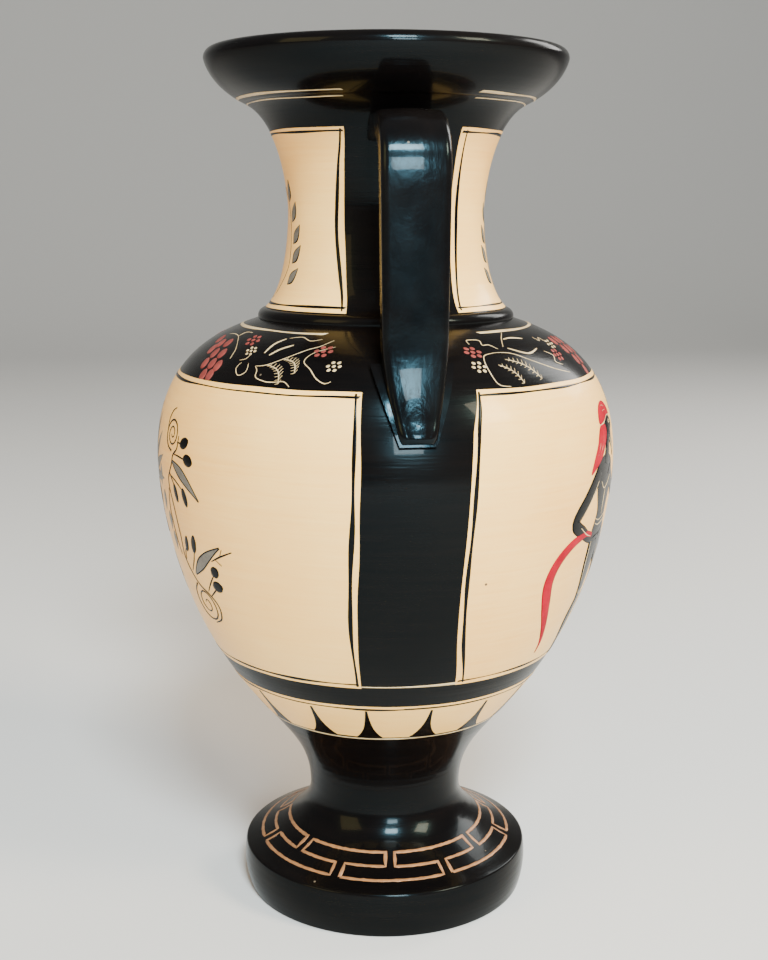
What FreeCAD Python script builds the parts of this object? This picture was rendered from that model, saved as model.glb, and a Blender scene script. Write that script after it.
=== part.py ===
import FreeCAD, Part
import os
from math import cos, radians, sin

from FreeCAD import Vector

# A wheel-thrown neck amphora of glazed earthenware, in millimetres, +Z up.
# The resting ring of the foot lies on z = 0, the axis is Z, and the two strap
# handles stand on +X and -X. It was thrown in sections (foot, bowl, shoulder,
# neck and mouth), which are luted together with slip in stepped lap joints.

# heights of the sections, stacked from the ground up
foot_edge_height = 18.6
foot_sweep_height = 23.9    # from the arris of the foot up to the waist of the stem
bowl_height = 144.5         # from the waist up to the widest part of the belly
shoulder_height = 56.2      # from the belly up to the collar, where the neck starts
neck_height = 82.8
mouth_height = 20.6

# outer radii
foot_base_radius = 58.6
foot_radius = 60.5
foot_arris_radius = 59.9
waist_radius = 32.0
belly_radius = 93.1
collar_radius = 49.0
throat_radius = 39.1
mouth_joint_radius = 56.0
lip_radius = 71.7

# how the outline bends
sweep_corner_height = 10.9  # of the corner that rounds the top of the foot, above the arris
bowl_stem_share = 0.29      # share of the bowl's height that still rises like the stem
bowl_belly_share = 0.18     # share of the bowl's height that the belly's pull reaches down
bowl_swell = 14.3           # inside the belly radius, of the pole that swells the lower bowl
bowl_swell_share = 0.234    # share of the bowl's height at which that pole sits
shoulder_share = 0.81       # share of the shoulder's height that the belly's pull reaches up
collar_run, collar_fall = 12.2, 4.8
throat_height = 41.8        # above the collar
neck_flare_height = 8.3     # in which the foot of the neck turns upright
throat_rise = 4.1
mouth_slope = 25.5          # degrees above level, where the mouth leaves the neck
neck_pull, mouth_pull = 16.3, 15.0
lip_round = 3.8
pole_gap = 1.0              # between an upright end of a curve and its nearest pole

# walls
wall = 6.5
foot_wall = 8.0
floor_thickness = 8.5
floor_flat_radius = 10.0
foot_arris_fillet = 1.2
foot_base_fillet = 0.8

# lap joints between the sections, filled with slip
slip = 0.6
smear = 1.2                 # width at each face where the clay is dragged over the joint
stem_joint_height = 13.5    # above the waist
boss_depth = 6.0            # of the bowl's underside in the top of the stem
belly_joint_drop = 3.0      # below the widest part
belly_lap = 5.0
neck_lap = 3.0
mouth_lap = 2.0

# the coil that covers the corner between shoulder and neck
ring_radius = 3.2
ring_inset = 0.4            # of its centre inside the collar's radius
neck_seat_height = 3.0      # height of the neck's upright edge behind the coil

# handles
handle_width = 24.7
handle_taper = 1.2          # lost in width on the way down to the collar
handle_tip_width = 13.5
handle_thickness = 10.0
handle_tip_thickness = 7.5
handle_crown = 0.5
handle_outer_round = 2.8
handle_inner_round = 2.0
handle_drop = 11.2          # of the top run's middle below the mouth joint
handle_inset = 10.1         # of the upright run's middle inside the belly radius
handle_bend = 16.0
handle_tip_drop = 37.2      # of the lower tip below the collar
handle_heel_height = 20.0   # above the tip, where the strap starts to lean out
handle_tip_stand = 1.3      # of the tip's middle off the shoulder
tip_nose = 2.0
root_margin = 5.2           # of the coil round the root beyond the strap, at its top
root_tip_margin = 0.8       # the same, at the tip
root_height = 3.0
root_start = 0.3            # share of the lower run above the coil round the root

# how finely the lofted strap is stepped
top_stations, bend_stations, side_stations, lower_count, root_count = 4, 6, 5, 8, 6

# parts of a curve that the inside of the wall follows, before it rounds the collar
shoulder_high, neck_low = 0.9, 0.15
edge_slack = 0.1            # by which an edge may miss the size it is picked by
clear = 1.0                 # run-out of a cutting shape below the ground

# heights above the ground
waist_z = foot_edge_height + foot_sweep_height
belly_z = waist_z + bowl_height
collar_z = belly_z + shoulder_height
throat_z = collar_z + throat_height
mouth_z = collar_z + neck_height
top_z = mouth_z + mouth_height
stem_joint_z = waist_z + stem_joint_height
boss_z = stem_joint_z - boss_depth
floor_z = boss_z + slip + floor_thickness
neck_seat_z = collar_z + neck_seat_height
tip_z = collar_z - handle_tip_drop
beyond = 2 * belly_radius   # a radius that is clear of everything


def at(radius, height):
    return Vector(radius, 0, height)


def bezier(*points):
    curve = Part.BezierCurve()
    curve.setPoles([at(radius, height) for radius, height in points])
    return curve


def line(start, end):
    return Part.makeLine(start, end)


def arc(middle, radius, first, last):
    """Arc about middle in the XZ plane, between two angles in degrees above level."""
    def spot(angle):
        return middle + Vector(cos(radians(angle)), 0, sin(radians(angle))) * radius
    return Part.Arc(spot(first), spot((first + last) / 2), spot(last)).toShape()


def polygon(*points):
    corners = [at(radius, height) for radius, height in points]
    return Part.Face(Part.makePolygon(corners + corners[:1]))


def face(edges):
    return Part.Face(Part.Wire(edges))


def inward(curve, t):
    """The direction into the clay, square to an outline that runs upwards."""
    along = curve.tangent(t)[0]
    return Vector(-along.z, 0, along.x)


def parallel(curve, distance, first=0.0, last=1.0, steps=14):
    """Smooth curve at a fixed distance inside an outline, or outside if negative."""
    points = []
    for step in range(steps + 1):
        t = first + (last - first) * step / steps
        points.append(curve.value(t) + inward(curve, t) * distance)
    inner = Part.BSplineCurve()
    inner.interpolate(points)
    return inner


def parameter_at(curve, height):
    """Where an outline that only rises reaches a height."""
    low, high = curve.FirstParameter, curve.LastParameter
    for _ in range(50):
        middle = (low + high) / 2
        if curve.value(middle).z < height:
            low = middle
        else:
            high = middle
    return low


def radius_on(curves, height):
    """Radius, at a height, of an outline made of curves that run upwards one after another."""
    for curve in curves:
        if curve.StartPoint.z <= height <= curve.EndPoint.z:
            return curve.value(parameter_at(curve, height)).x


def turn(start, start_along, end, end_along):
    """Curve from start to end that is tangent to both directions, in the XZ plane."""
    gap = end - start
    crossing = start_along.x * end_along.z - start_along.z * end_along.x
    reach = (gap.x * end_along.z - gap.z * end_along.x) / crossing
    corner = start + start_along * reach
    return bezier((start.x, start.z), (corner.x, corner.z), (end.x, end.z))


def spin(section):
    return section.revolve(Vector(0, 0, 0), Vector(0, 0, 1), 360)


# outline, from the ground to the lip

foot_edge = Part.Arc(at(foot_base_radius, 0), at(foot_radius, foot_edge_height / 2),
                     at(foot_arris_radius, foot_edge_height))
foot_sweep = bezier((foot_arris_radius, foot_edge_height),
                    (waist_radius, foot_edge_height + sweep_corner_height), (waist_radius, waist_z))
bowl_side = bezier((waist_radius, waist_z), (waist_radius, waist_z + bowl_stem_share * bowl_height),
                   (belly_radius - bowl_swell, waist_z + bowl_swell_share * bowl_height),
                   (belly_radius, belly_z - bowl_belly_share * bowl_height), (belly_radius, belly_z))
shoulder_side = bezier((belly_radius, belly_z),
                       (belly_radius, belly_z + shoulder_share * shoulder_height),
                       (collar_radius + collar_run, collar_z - collar_fall), (collar_radius, collar_z))
neck_foot = bezier((collar_radius, neck_seat_z), (throat_radius, neck_seat_z + neck_flare_height),
                   (throat_radius, throat_z - pole_gap), (throat_radius, throat_z))
mouth_joint = at(mouth_joint_radius, mouth_z)
mouth_along = Vector(cos(radians(mouth_slope)), 0, sin(radians(mouth_slope)))
neck_end, mouth_start = mouth_joint - mouth_along * neck_pull, mouth_joint + mouth_along * mouth_pull
neck_top = bezier((throat_radius, throat_z), (throat_radius, throat_z + throat_rise),
                  (neck_end.x, neck_end.z), (mouth_joint_radius, mouth_z))
mouth_side = bezier((mouth_joint_radius, mouth_z), (mouth_start.x, mouth_start.z),
                    (lip_radius, top_z - lip_round - pole_gap), (lip_radius, top_z - lip_round))
lip_middle = at(lip_radius - lip_round, top_z - lip_round)
lip_inner_round = wall - lip_round
lip_inner_middle = lip_middle + Vector(0, 0, lip_round - lip_inner_round)
lip_crest = lip_middle + Vector(0, 0, lip_round)

axis_foot, axis_top = at(0, 0), at(0, top_z)
envelope_face = face([
    line(axis_foot, at(foot_base_radius, 0)), foot_edge.toShape(), foot_sweep.toShape(),
    bowl_side.toShape(), shoulder_side.toShape(),
    line(at(collar_radius, collar_z), at(collar_radius, neck_seat_z)),
    neck_foot.toShape(), neck_top.toShape(), mouth_side.toShape(), arc(lip_middle, lip_round, 0, 90),
    line(lip_crest, axis_top), line(axis_top, axis_foot)])

# inside of the jar, one wall in from the outline

bowl_low = parameter_at(bowl_side, floor_z + floor_thickness)
bowl_inside = parallel(bowl_side, wall, bowl_low, 1)
shoulder_inside = parallel(shoulder_side, wall, 0, shoulder_high)
neck_foot_inside = parallel(neck_foot, wall, neck_low, 1)
neck_top_inside = parallel(neck_top, wall)
mouth_inside = parallel(mouth_side, wall)

floor_turn = turn(at(floor_flat_radius, floor_z), Vector(1, 0, 0),
                  bowl_inside.StartPoint, bowl_side.tangent(bowl_low)[0])
collar_turn = turn(shoulder_inside.EndPoint, shoulder_side.tangent(shoulder_high)[0],
                   neck_foot_inside.StartPoint, neck_foot.tangent(neck_low)[0])
cavity_face = face([
    line(at(0, floor_z), at(floor_flat_radius, floor_z)), floor_turn.toShape(), bowl_inside.toShape(),
    shoulder_inside.toShape(), collar_turn.toShape(), neck_foot_inside.toShape(),
    neck_top_inside.toShape(), mouth_inside.toShape(),
    line(mouth_inside.EndPoint, lip_inner_middle - Vector(lip_inner_round, 0, 0)),
    arc(lip_inner_middle, lip_inner_round, 180, 90), line(lip_crest, axis_top),
    line(axis_top, at(0, floor_z))])

# hollow under the foot, up to the underside of the bowl

foot_inside = parallel(foot_sweep, foot_wall)
stem_high = parameter_at(bowl_side, boss_z)
stem_inside = parallel(bowl_side, foot_wall, 0, stem_high, 4)
boss_face_z = boss_z + slip
stem_inner_radius = stem_inside.EndPoint.x
hollow_face = face([
    line(axis_foot, at(foot_inside.StartPoint.x, 0)),
    line(at(foot_inside.StartPoint.x, 0), foot_inside.StartPoint),
    foot_inside.toShape(), stem_inside.toShape(),
    line(stem_inside.EndPoint, at(stem_inner_radius, boss_face_z)),
    line(at(stem_inner_radius, boss_face_z), at(0, boss_face_z)), line(at(0, boss_face_z), axis_foot)])
rest_ring_inner = foot_base_radius - foot_wall
hollow_face = hollow_face.common(polygon((0, 0), (rest_ring_inner, 0), (rest_ring_inner, waist_z),
                                         (beyond, waist_z), (beyond, floor_z), (0, floor_z)))


outside = [bowl_side, shoulder_side, neck_foot, neck_top, mouth_side]
inside = [bowl_inside, shoulder_inside, collar_turn, neck_foot_inside, neck_top_inside, mouth_inside]


def lap(height, rise, inner, step_inner):
    """Stepped joint: the lower section's half of the plane, and the slip above it.

    The joint runs level from the outside, turns up (or down) in the middle of the wall and
    runs level to the inside. inner and step_inner are the wall's inner radius at its two levels.
    """
    outer, step = radius_on(outside, height), height + rise
    middle = (outer + inner) / 2
    lower, upper = (middle, middle + slip) if rise > 0 else (middle + slip, middle)
    below = polygon((0, -clear), (beyond, -clear), (beyond, height), (lower, height),
                    (lower, step), (0, step))
    outer_end, inner_end = outer - smear, step_inner + smear
    gap = polygon((outer_end, height), (lower, height), (lower, step), (inner_end, step),
                  (inner_end, step + slip), (upper, step + slip), (upper, height + slip),
                  (outer_end, height + slip))
    return below, gap


def wall_lap(height, rise):
    return lap(height, rise, radius_on(inside, height), radius_on(inside, height + rise))


stem_lap = lap(stem_joint_z, -boss_depth, stem_inner_radius, stem_inner_radius)
joints = (("foot", "slip_foot", stem_lap),
          ("bowl", "slip_belly", wall_lap(belly_z - belly_joint_drop, belly_lap)),
          ("shoulder", "slip_neck", wall_lap(collar_z, neck_lap)),
          ("neck", "slip_mouth", wall_lap(mouth_z, mouth_lap)))
nodes = {}
rest = envelope_face.cut([cavity_face, hollow_face])
for section, seam, (below, gap) in joints:
    nodes[section] = spin(rest.common(below).Faces[0])
    rest = rest.cut(below)
    nodes[seam] = spin(rest.common(gap).Faces[0])
    rest = rest.cut(gap)
nodes["mouth"] = spin(rest.Faces[0])

arrises = [edge for edge in nodes["foot"].Edges if edge.BoundBox.XMax > foot_base_radius - edge_slack
           and edge.BoundBox.ZLength < edge_slack]
low_edges = [edge for edge in arrises if edge.BoundBox.ZMax < edge_slack]
top_edges = [edge for edge in arrises if edge.BoundBox.ZMax > edge_slack]
nodes["foot"] = nodes["foot"].makeFillet(foot_base_fillet, low_edges)
nodes["foot"] = nodes["foot"].makeFillet(foot_arris_fillet, top_edges)

ring_middle = at(collar_radius - ring_inset, collar_z)
ring_circle = Part.Circle(ring_middle, Vector(0, 1, 0), ring_radius)
nodes["neck_ring"] = spin(face([ring_circle.toShape()]).cut(envelope_face).Faces[0])


# handles

def shoulder_body(stand):
    """The jar below the neck, made fatter by stand."""
    side = [parallel(bowl_side, -stand, bowl_low, 1), parallel(shoulder_side, -stand)]
    low, high = side[0].StartPoint, side[1].EndPoint
    return spin(face([line(at(0, low.z), low), side[0].toShape(), side[1].toShape(),
                      line(high, at(0, high.z)), line(at(0, high.z), at(0, low.z))]))


def neck_body(stand):
    """The upper neck, made fatter by stand."""
    side = parallel(neck_top, -stand)
    low, high = side.StartPoint, side.EndPoint
    return spin(face([line(at(0, low.z), low), side.toShape(), line(high, at(0, high.z)),
                      line(at(0, high.z), at(0, low.z))]))


def strap_section(middle, along, width, thickness, stand=0.0):
    """Outline of the strap, square to its run: crowned outside, with rounded corners."""
    out = Vector(-along.z, 0, along.x)
    side = Vector(0, 1, 0)
    half, deep = width / 2 + stand, thickness / 2 + stand
    big, small = handle_outer_round, handle_inner_round
    diagonal = 1 - cos(radians(45))

    def spot(across, outwards):
        return middle + side * across + out * outwards

    def corner(across, outwards, size):
        """Round of a corner: its two ends and its middle."""
        turn_x, turn_z = (1 if across > 0 else -1), (1 if outwards > 0 else -1)
        ends = spot(across, outwards - turn_z * size), spot(across - turn_x * size, outwards)
        middle_spot = spot(across - turn_x * size * diagonal, outwards - turn_z * size * diagonal)
        return ends[0], middle_spot, ends[1]

    outer_right, outer_left = corner(half, deep, big), corner(-half, deep, big)[::-1]
    inner_left, inner_right = corner(-half, -deep, small), corner(half, -deep, small)[::-1]
    edges = [Part.Arc(*outer_right).toShape(),
             Part.Arc(outer_right[2], spot(0, deep + handle_crown), outer_left[0]).toShape(),
             Part.Arc(*outer_left).toShape(), line(outer_left[2], inner_left[0]),
             Part.Arc(*inner_left).toShape(), line(inner_left[2], inner_right[0]),
             Part.Arc(*inner_right).toShape(), line(inner_right[2], outer_right[0])]
    return Part.Wire(edges)


reach = belly_radius - handle_inset
handle_z = mouth_z - handle_drop
bend_middle = at(reach - handle_bend, handle_z - handle_bend)
tip_t = parameter_at(shoulder_side, tip_z)
tip = shoulder_side.value(tip_t) - inward(shoulder_side, tip_t) * handle_tip_stand
lower_run = bezier((reach, collar_z), (reach, tip_z + handle_heel_height), (tip.x, tip.z))


def lower_size(share):
    """Width and thickness of the strap on its lower run, from the collar (0) to the tip (1)."""
    width = handle_tip_width + (handle_width - handle_taper - handle_tip_width) * (1 - share ** 2)
    return width, handle_thickness + (handle_tip_thickness - handle_thickness) * share


def lower_stations(first, steps, top_stand=0.0, tip_stand=0.0):
    """Sections down the lower run and over its nose, made fatter by a stand at the top and the tip."""
    sections = []
    for step in range(steps + 1):
        share = 1 - (1 - first) * (steps - step) / steps
        along = lower_run.tangent(share)[0]
        stand = top_stand + (tip_stand - top_stand) * share
        sections.append(strap_section(lower_run.value(share), along, *lower_size(share), stand))
    nose = lower_run.value(1) + along * (tip_nose + tip_stand)
    width, thickness = lower_size(1)
    sections.append(strap_section(nose, along, width - tip_nose, thickness - tip_nose, tip_stand))
    return sections


def strap(stand=0.0):
    """Whole strap on the +X side, running into the neck and the shoulder, made fatter by stand."""
    stations = []
    start, end = throat_radius - wall / 2, bend_middle.x
    for step in range(top_stations):
        spot = at(start + (end - start) * step / top_stations, handle_z)
        stations.append((spot, Vector(1, 0, 0), handle_width))
    for step in range(bend_stations + 1):
        angle = radians(90 - 90 * step / bend_stations)
        stations.append((bend_middle + Vector(cos(angle), 0, sin(angle)) * handle_bend,
                         Vector(sin(angle), 0, -cos(angle)), handle_width))
    for step in range(1, side_stations):
        share = step / side_stations
        height = bend_middle.z + (collar_z - bend_middle.z) * share
        stations.append((at(reach, height), Vector(0, 0, -1), handle_width - handle_taper * share))
    sections = [strap_section(*station, handle_thickness, stand) for station in stations]
    return Part.makeLoft(sections + lower_stations(0, lower_count, stand, stand), True)


jar = spin(envelope_face)
raw_strap, slip_core = strap(), strap(-smear)
top_slip = slip_core.common(neck_body(slip)).cut(jar)
base_slip = slip_core.common(shoulder_body(slip)).cut(jar)
handle = raw_strap.cut([jar, top_slip, base_slip])
root_block = Part.makeLoft(lower_stations(root_start, root_count, root_margin, root_tip_margin), True)
root = root_block.common(shoulder_body(root_height)).cut([jar, raw_strap])

for name, shape in (("handle", handle), ("handle_root", root), ("slip_handle_top", top_slip),
                    ("slip_handle_base", base_slip)):
    piece = max(shape.Solids, key=lambda solid: solid.Volume)
    nodes[name + "_right"] = piece
    nodes[name + "_left"] = piece.rotated(Vector(0, 0, 0), Vector(0, 0, 1), 180)

os.makedirs("parts", exist_ok=True)
for name, shape in sorted(nodes.items()):
    solids = shape.Solids
    print(name, "solids", len(solids), "valid", shape.isValid(), "volume", round(shape.Volume),
          "x", round(shape.BoundBox.XMin, 1), round(shape.BoundBox.XMax, 1),
          "z", round(shape.BoundBox.ZMin, 1), round(shape.BoundBox.ZMax, 1))
    shape.exportStep("parts/" + name + ".step")
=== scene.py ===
from bisect import bisect_left
from math import ceil, cos, hypot, pi, radians, sin
from random import Random

import bmesh
import bpy
from mathutils import Matrix, Vector


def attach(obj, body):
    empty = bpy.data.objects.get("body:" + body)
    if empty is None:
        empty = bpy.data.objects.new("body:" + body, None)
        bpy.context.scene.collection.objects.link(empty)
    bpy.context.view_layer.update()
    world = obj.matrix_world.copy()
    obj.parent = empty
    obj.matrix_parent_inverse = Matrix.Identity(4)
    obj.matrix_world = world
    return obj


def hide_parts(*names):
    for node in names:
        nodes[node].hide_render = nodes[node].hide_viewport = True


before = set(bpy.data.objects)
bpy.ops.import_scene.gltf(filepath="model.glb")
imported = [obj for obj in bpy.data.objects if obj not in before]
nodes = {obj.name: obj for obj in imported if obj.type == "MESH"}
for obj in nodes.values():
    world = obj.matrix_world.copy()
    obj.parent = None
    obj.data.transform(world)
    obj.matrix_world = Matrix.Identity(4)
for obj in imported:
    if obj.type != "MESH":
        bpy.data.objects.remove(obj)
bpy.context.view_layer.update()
mm = 0.001
print("frame loaded,", len(nodes), "nodes")

# places on the jar: degrees round the axis, heights in mm above the ground
cameraAzimuth = 173.0
figureSide, tendrilSide = 270.0, 90.0


# materials

def newGroup(name, inputs, outputs):
    group = bpy.data.node_groups.new(name, "ShaderNodeTree")
    for label, kind, value in inputs:
        socket = group.interface.new_socket(label, in_out="INPUT", socket_type=kind)
        socket.default_value = value
    for label, kind in outputs:
        group.interface.new_socket(label, in_out="OUTPUT", socket_type=kind)
    return group, group.nodes.new("NodeGroupInput"), group.nodes.new("NodeGroupOutput")


def addNode(tree, kind, **settings):
    node = tree.nodes.new(kind)
    for key, value in settings.items():
        if key.startswith("in"):
            node.inputs[int(key[2:])].default_value = value
        else:
            setattr(node, key, value)
    return node


def makeBrushGroup():
    # brush marks that run round the wheel, and a slow mottle under them
    group, source, sink = newGroup("brushMarks", (
        ("Along", "NodeSocketFloat", 30.0), ("Across", "NodeSocketFloat", 900.0),
        ("Mottle", "NodeSocketFloat", 25.0)), (
        ("Streak", "NodeSocketFloat"), ("Cloud", "NodeSocketFloat")))
    place = addNode(group, "ShaderNodeTexCoord")
    spacing = addNode(group, "ShaderNodeCombineXYZ")
    stretch = addNode(group, "ShaderNodeVectorMath", operation="MULTIPLY")
    streak = addNode(group, "ShaderNodeTexNoise", in2=1.0, in3=5.0, in4=0.62)
    cloud = addNode(group, "ShaderNodeTexNoise", in3=4.0, in4=0.55)
    link = group.links.new
    for slot, label in enumerate(("Along", "Along", "Across")):
        link(source.outputs[label], spacing.inputs[slot])
    link(place.outputs["Object"], stretch.inputs[0])
    link(spacing.outputs[0], stretch.inputs[1])
    link(stretch.outputs[0], streak.inputs["Vector"])
    link(place.outputs["Object"], cloud.inputs["Vector"])
    link(source.outputs["Mottle"], cloud.inputs["Scale"])
    link(streak.outputs[0], sink.inputs["Streak"])
    link(cloud.outputs[0], sink.inputs["Cloud"])
    return group


def makeSpeckGroup():
    # scattered small round marks, one in a few cells
    group, source, sink = newGroup("specks", (
        ("Scale", "NodeSocketFloat", 120.0), ("Size", "NodeSocketFloat", 0.12),
        ("Share", "NodeSocketFloat", 0.1)), (("Mask", "NodeSocketFloat"),))
    place = addNode(group, "ShaderNodeTexCoord")
    cells = addNode(group, "ShaderNodeTexVoronoi")
    near = addNode(group, "ShaderNodeMath", operation="LESS_THAN")
    pick = addNode(group, "ShaderNodeSeparateColor")
    chosen = addNode(group, "ShaderNodeMath", operation="LESS_THAN")
    both = addNode(group, "ShaderNodeMath", operation="MULTIPLY")
    link = group.links.new
    link(place.outputs["Object"], cells.inputs["Vector"])
    link(source.outputs["Scale"], cells.inputs["Scale"])
    link(cells.outputs["Distance"], near.inputs[0])
    link(source.outputs["Size"], near.inputs[1])
    link(cells.outputs["Color"], pick.inputs[0])
    link(pick.outputs[0], chosen.inputs[0])
    link(source.outputs["Share"], chosen.inputs[1])
    link(near.outputs[0], both.inputs[0])
    link(chosen.outputs[0], both.inputs[1])
    link(both.outputs[0], sink.inputs["Mask"])
    return group


brushGroup, speckGroup = makeBrushGroup(), makeSpeckGroup()


def makeMaterial(name, look):
    # look: colours light to dark, streaks, specks, roughness range, varnish coat and relief
    material = bpy.data.materials.new(name)
    material.use_nodes = True
    tree = material.node_tree
    link = tree.links.new
    shader = tree.nodes["Principled BSDF"]
    brush = addNode(tree, "ShaderNodeGroup", node_tree=brushGroup)
    brush.inputs["Along"].default_value = look["along"]
    brush.inputs["Across"].default_value = look["across"]
    brush.inputs["Mottle"].default_value = look["mottle"]
    specks = addNode(tree, "ShaderNodeGroup", node_tree=speckGroup)
    specks.inputs["Scale"].default_value = look["speckScale"]
    specks.inputs["Size"].default_value = look["speckSize"]
    specks.inputs["Share"].default_value = look["speckShare"]

    clouds = addNode(tree, "ShaderNodeMapRange", in1=0.3, in2=0.7)
    link(brush.outputs["Cloud"], clouds.inputs[0])
    streaks = addNode(tree, "ShaderNodeMapRange", in1=0.3, in2=0.7, in4=look["streak"])
    link(brush.outputs["Streak"], streaks.inputs[0])
    ground = addNode(tree, "ShaderNodeMix", data_type="RGBA", in6=look["light"], in7=look["shade"])
    link(clouds.outputs[0], ground.inputs[0])
    brushed = addNode(tree, "ShaderNodeMix", data_type="RGBA", in7=look["streakColor"])
    link(streaks.outputs[0], brushed.inputs[0])
    link(ground.outputs[2], brushed.inputs[6])
    dotted = addNode(tree, "ShaderNodeMix", data_type="RGBA", in7=look["speckColor"])
    link(specks.outputs[0], dotted.inputs[0])
    link(brushed.outputs[2], dotted.inputs[6])
    link(dotted.outputs[2], shader.inputs["Base Color"])

    low, high = look["rough"]
    rough = addNode(tree, "ShaderNodeMapRange", in1=0.25, in2=0.75, in3=low, in4=high)
    link(brush.outputs["Cloud"], rough.inputs[0])
    link(rough.outputs[0], shader.inputs["Roughness"])
    bump = addNode(tree, "ShaderNodeBump", in0=look["relief"], in1=look["reliefDepth"])
    link(brush.outputs["Streak"], bump.inputs["Height"])
    link(bump.outputs[0], shader.inputs["Normal"])
    shader.inputs["Coat Weight"].default_value = look["coat"]
    shader.inputs["Coat Roughness"].default_value = look["coatRough"]
    shader.inputs["Metallic"].default_value = look.get("metal", 0.0)
    shader.inputs["Specular IOR Level"].default_value = look.get("specular", 0.5)
    shader.inputs["Specular Tint"].default_value = look.get("tint", (1, 1, 1, 1))
    return material


blackLook = {
    "light": (0.0012, 0.0011, 0.0013, 1), "shade": (0.0028, 0.0022, 0.0020, 1),
    "streak": 0.35, "streakColor": (0.0065, 0.0042, 0.0034, 1), "along": 22.0, "across": 420.0,
    "mottle": 18.0, "speckScale": 150.0, "speckSize": 0.07, "speckShare": 0.05,
    "speckColor": (0.10, 0.075, 0.05, 1),
    "rough": (0.15, 0.27), "relief": 0.22, "reliefDepth": 0.0006, "coat": 0.07, "coatRough": 0.04,
    "specular": 0.06, "tint": (0.45, 0.85, 1.0, 1)}
creamLook = {
    "light": (0.94, 0.56, 0.160, 1), "shade": (0.86, 0.43, 0.090, 1),
    "streak": 0.30, "streakColor": (0.95, 0.63, 0.24, 1), "along": 26.0, "across": 620.0, "mottle": 11.0,
    "speckScale": 95.0, "speckSize": 0.05, "speckShare": 0.035, "speckColor": (0.11, 0.06, 0.03, 1),
    "rough": (0.30, 0.46), "relief": 0.25, "reliefDepth": 0.0005, "coat": 0.15, "coatRough": 0.1,
    "specular": 0.25}
lineLook = dict(creamLook, light=(0.62, 0.47, 0.26, 1), shade=(0.36, 0.25, 0.13, 1), along=500.0,
                across=700.0, mottle=160.0, relief=0.1)
redLook = dict(creamLook, light=(0.36, 0.0004, 0.014, 1), shade=(0.24, 0.0003, 0.008, 1), streak=0.25,
               streakColor=(0.48, 0.002, 0.028, 1), along=400.0, across=700.0, mottle=140.0,
               speckShare=0.0, relief=0.1, coat=0.0, specular=0.05)
dullRedLook = dict(redLook, light=(0.24, 0.042, 0.034, 1), shade=(0.13, 0.022, 0.020, 1),
                   streakColor=(0.31, 0.09, 0.07, 1))
greyLook = dict(creamLook, light=(0.105, 0.092, 0.075, 1), shade=(0.062, 0.052, 0.044, 1), streak=0.5,
                streakColor=(0.21, 0.18, 0.13, 1), along=500.0, across=900.0, mottle=120.0, speckShare=0.0)
copperLook = dict(creamLook, light=(0.32, 0.140, 0.052, 1), shade=(0.17, 0.072, 0.028, 1), streak=0.45,
                  streakColor=(0.42, 0.22, 0.10, 1), along=420.0, across=420.0, mottle=190.0,
                  speckShare=0.0, rough=(0.32, 0.5), metal=0.25)
handleLook = dict(blackLook, along=75.0, across=48.0, mottle=45.0, relief=0.3, reliefDepth=0.0012,
                  rough=(0.12, 0.30), specular=0.12, tint=(0.35, 0.80, 1.0, 1))
clayLook = {
    "light": (0.50, 0.215, 0.105, 1), "shade": (0.40, 0.155, 0.070, 1),
    "streak": 0.5, "streakColor": (0.58, 0.29, 0.16, 1), "along": 15.0, "across": 330.0, "mottle": 30.0,
    "speckScale": 260.0, "speckSize": 0.2, "speckShare": 0.12, "speckColor": (0.26, 0.11, 0.06, 1),
    "rough": (0.75, 0.9), "relief": 0.7, "reliefDepth": 0.0012, "coat": 0.0, "coatRough": 0.3}
slipLook = dict(clayLook, light=(0.46, 0.24, 0.14, 1), shade=(0.38, 0.18, 0.10, 1))

blackGlaze = makeMaterial("blackGlaze", blackLook)
handleGlaze = makeMaterial("handleGlaze", handleLook)
creamGround = makeMaterial("creamGround", creamLook)
creamLine = makeMaterial("creamLine", lineLook)
redPaint = makeMaterial("redPaint", redLook)
dullRed = makeMaterial("dullRedPaint", dullRedLook)
greyWash = makeMaterial("greyWash", greyLook)
copperPaint = makeMaterial("copperPaint", copperLook)
bareClay = makeMaterial("bareClay", clayLook)
jointSlip = makeMaterial("jointSlip", slipLook)
# paints, each paired with a slot name
black, grey = (blackGlaze, "black_glaze"), (greyWash, "black_glaze")
cream, creamThin = (creamGround, "cream_ground"), (creamLine, "cream_ground")
red, dull = (redPaint, "red_paint"), (dullRed, "red_paint")
print("materials made")


# sections of the jar, turned from the frame's own sections

turning = {"steps": 256, "spacing": 1.8 * mm, "corner": radians(24), "weld": 0.004 * mm}


def sectionChain(name):
    bm = bmesh.new()
    bm.from_mesh(nodes[name].data)
    bmesh.ops.remove_doubles(bm, verts=bm.verts[:], dist=turning["weld"])
    bmesh.ops.bisect_plane(bm, geom=bm.verts[:] + bm.edges[:] + bm.faces[:], dist=turning["weld"] / 4,
                           plane_co=(0, 0, 0), plane_no=(0, 1, 0), clear_inner=True, clear_outer=True)
    bmesh.ops.delete(bm, geom=[v for v in bm.verts if v.co.x < -turning["weld"]], context="VERTS")
    ends = [v for v in bm.verts if len(v.link_edges) == 1]
    vert = min(ends, key=lambda v: v.co.z) if ends else min(bm.verts, key=lambda v: (v.co.z, v.co.x))
    chain, edge = [vert], None
    while True:
        onward = [e for e in vert.link_edges if e is not edge]
        if not onward:
            break
        edge = onward[0]
        vert = edge.other_vert(vert)
        if vert is chain[0]:
            break
        chain.append(vert)
    points = [Vector((max(v.co.x, 0.0), v.co.z)) for v in chain]
    bm.free()
    return points, not ends


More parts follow.
